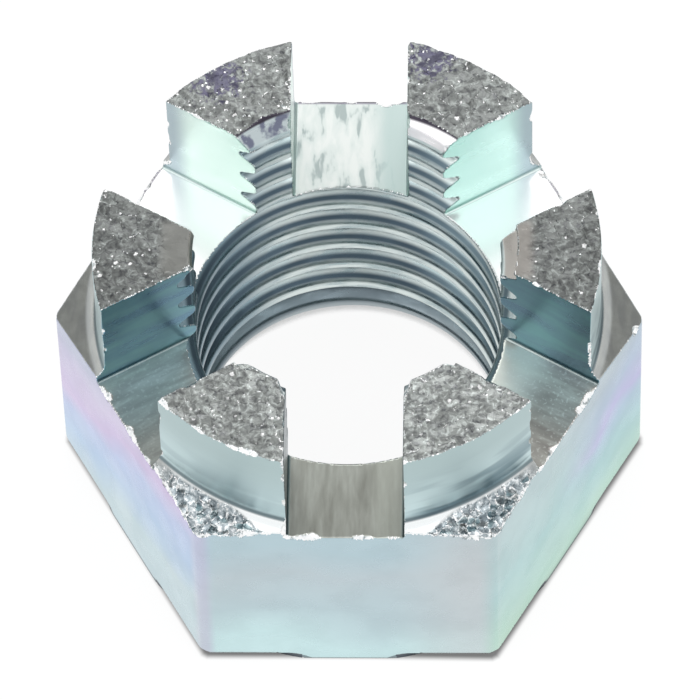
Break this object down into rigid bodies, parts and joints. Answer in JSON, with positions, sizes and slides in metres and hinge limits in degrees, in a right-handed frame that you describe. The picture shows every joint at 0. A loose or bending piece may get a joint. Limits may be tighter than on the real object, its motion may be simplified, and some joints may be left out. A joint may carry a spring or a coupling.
{
  "type": "castle nut",
  "caption": "Hexagon nut with a turned crown cut by radial slots for a split pin, threaded through, zinc plated.",
  "frame": {"origin": "middle of the bearing face, on the thread axis", "axes": "+Z along the thread axis from the bearing face to the crown; two flats face +Y and -Y, two corners lie on +X and -X"},
  "size_m": [0.0164, 0.0142, 0.0104],
  "materials": {
    "zinc_plated_steel": "bright zinc plate with a clear pale-blue passivation, on turned and milled steel"
  },
  "bodies": {
    "root": {"castle_nut": "zinc_plated_steel"}
  },
  "joints": []
}
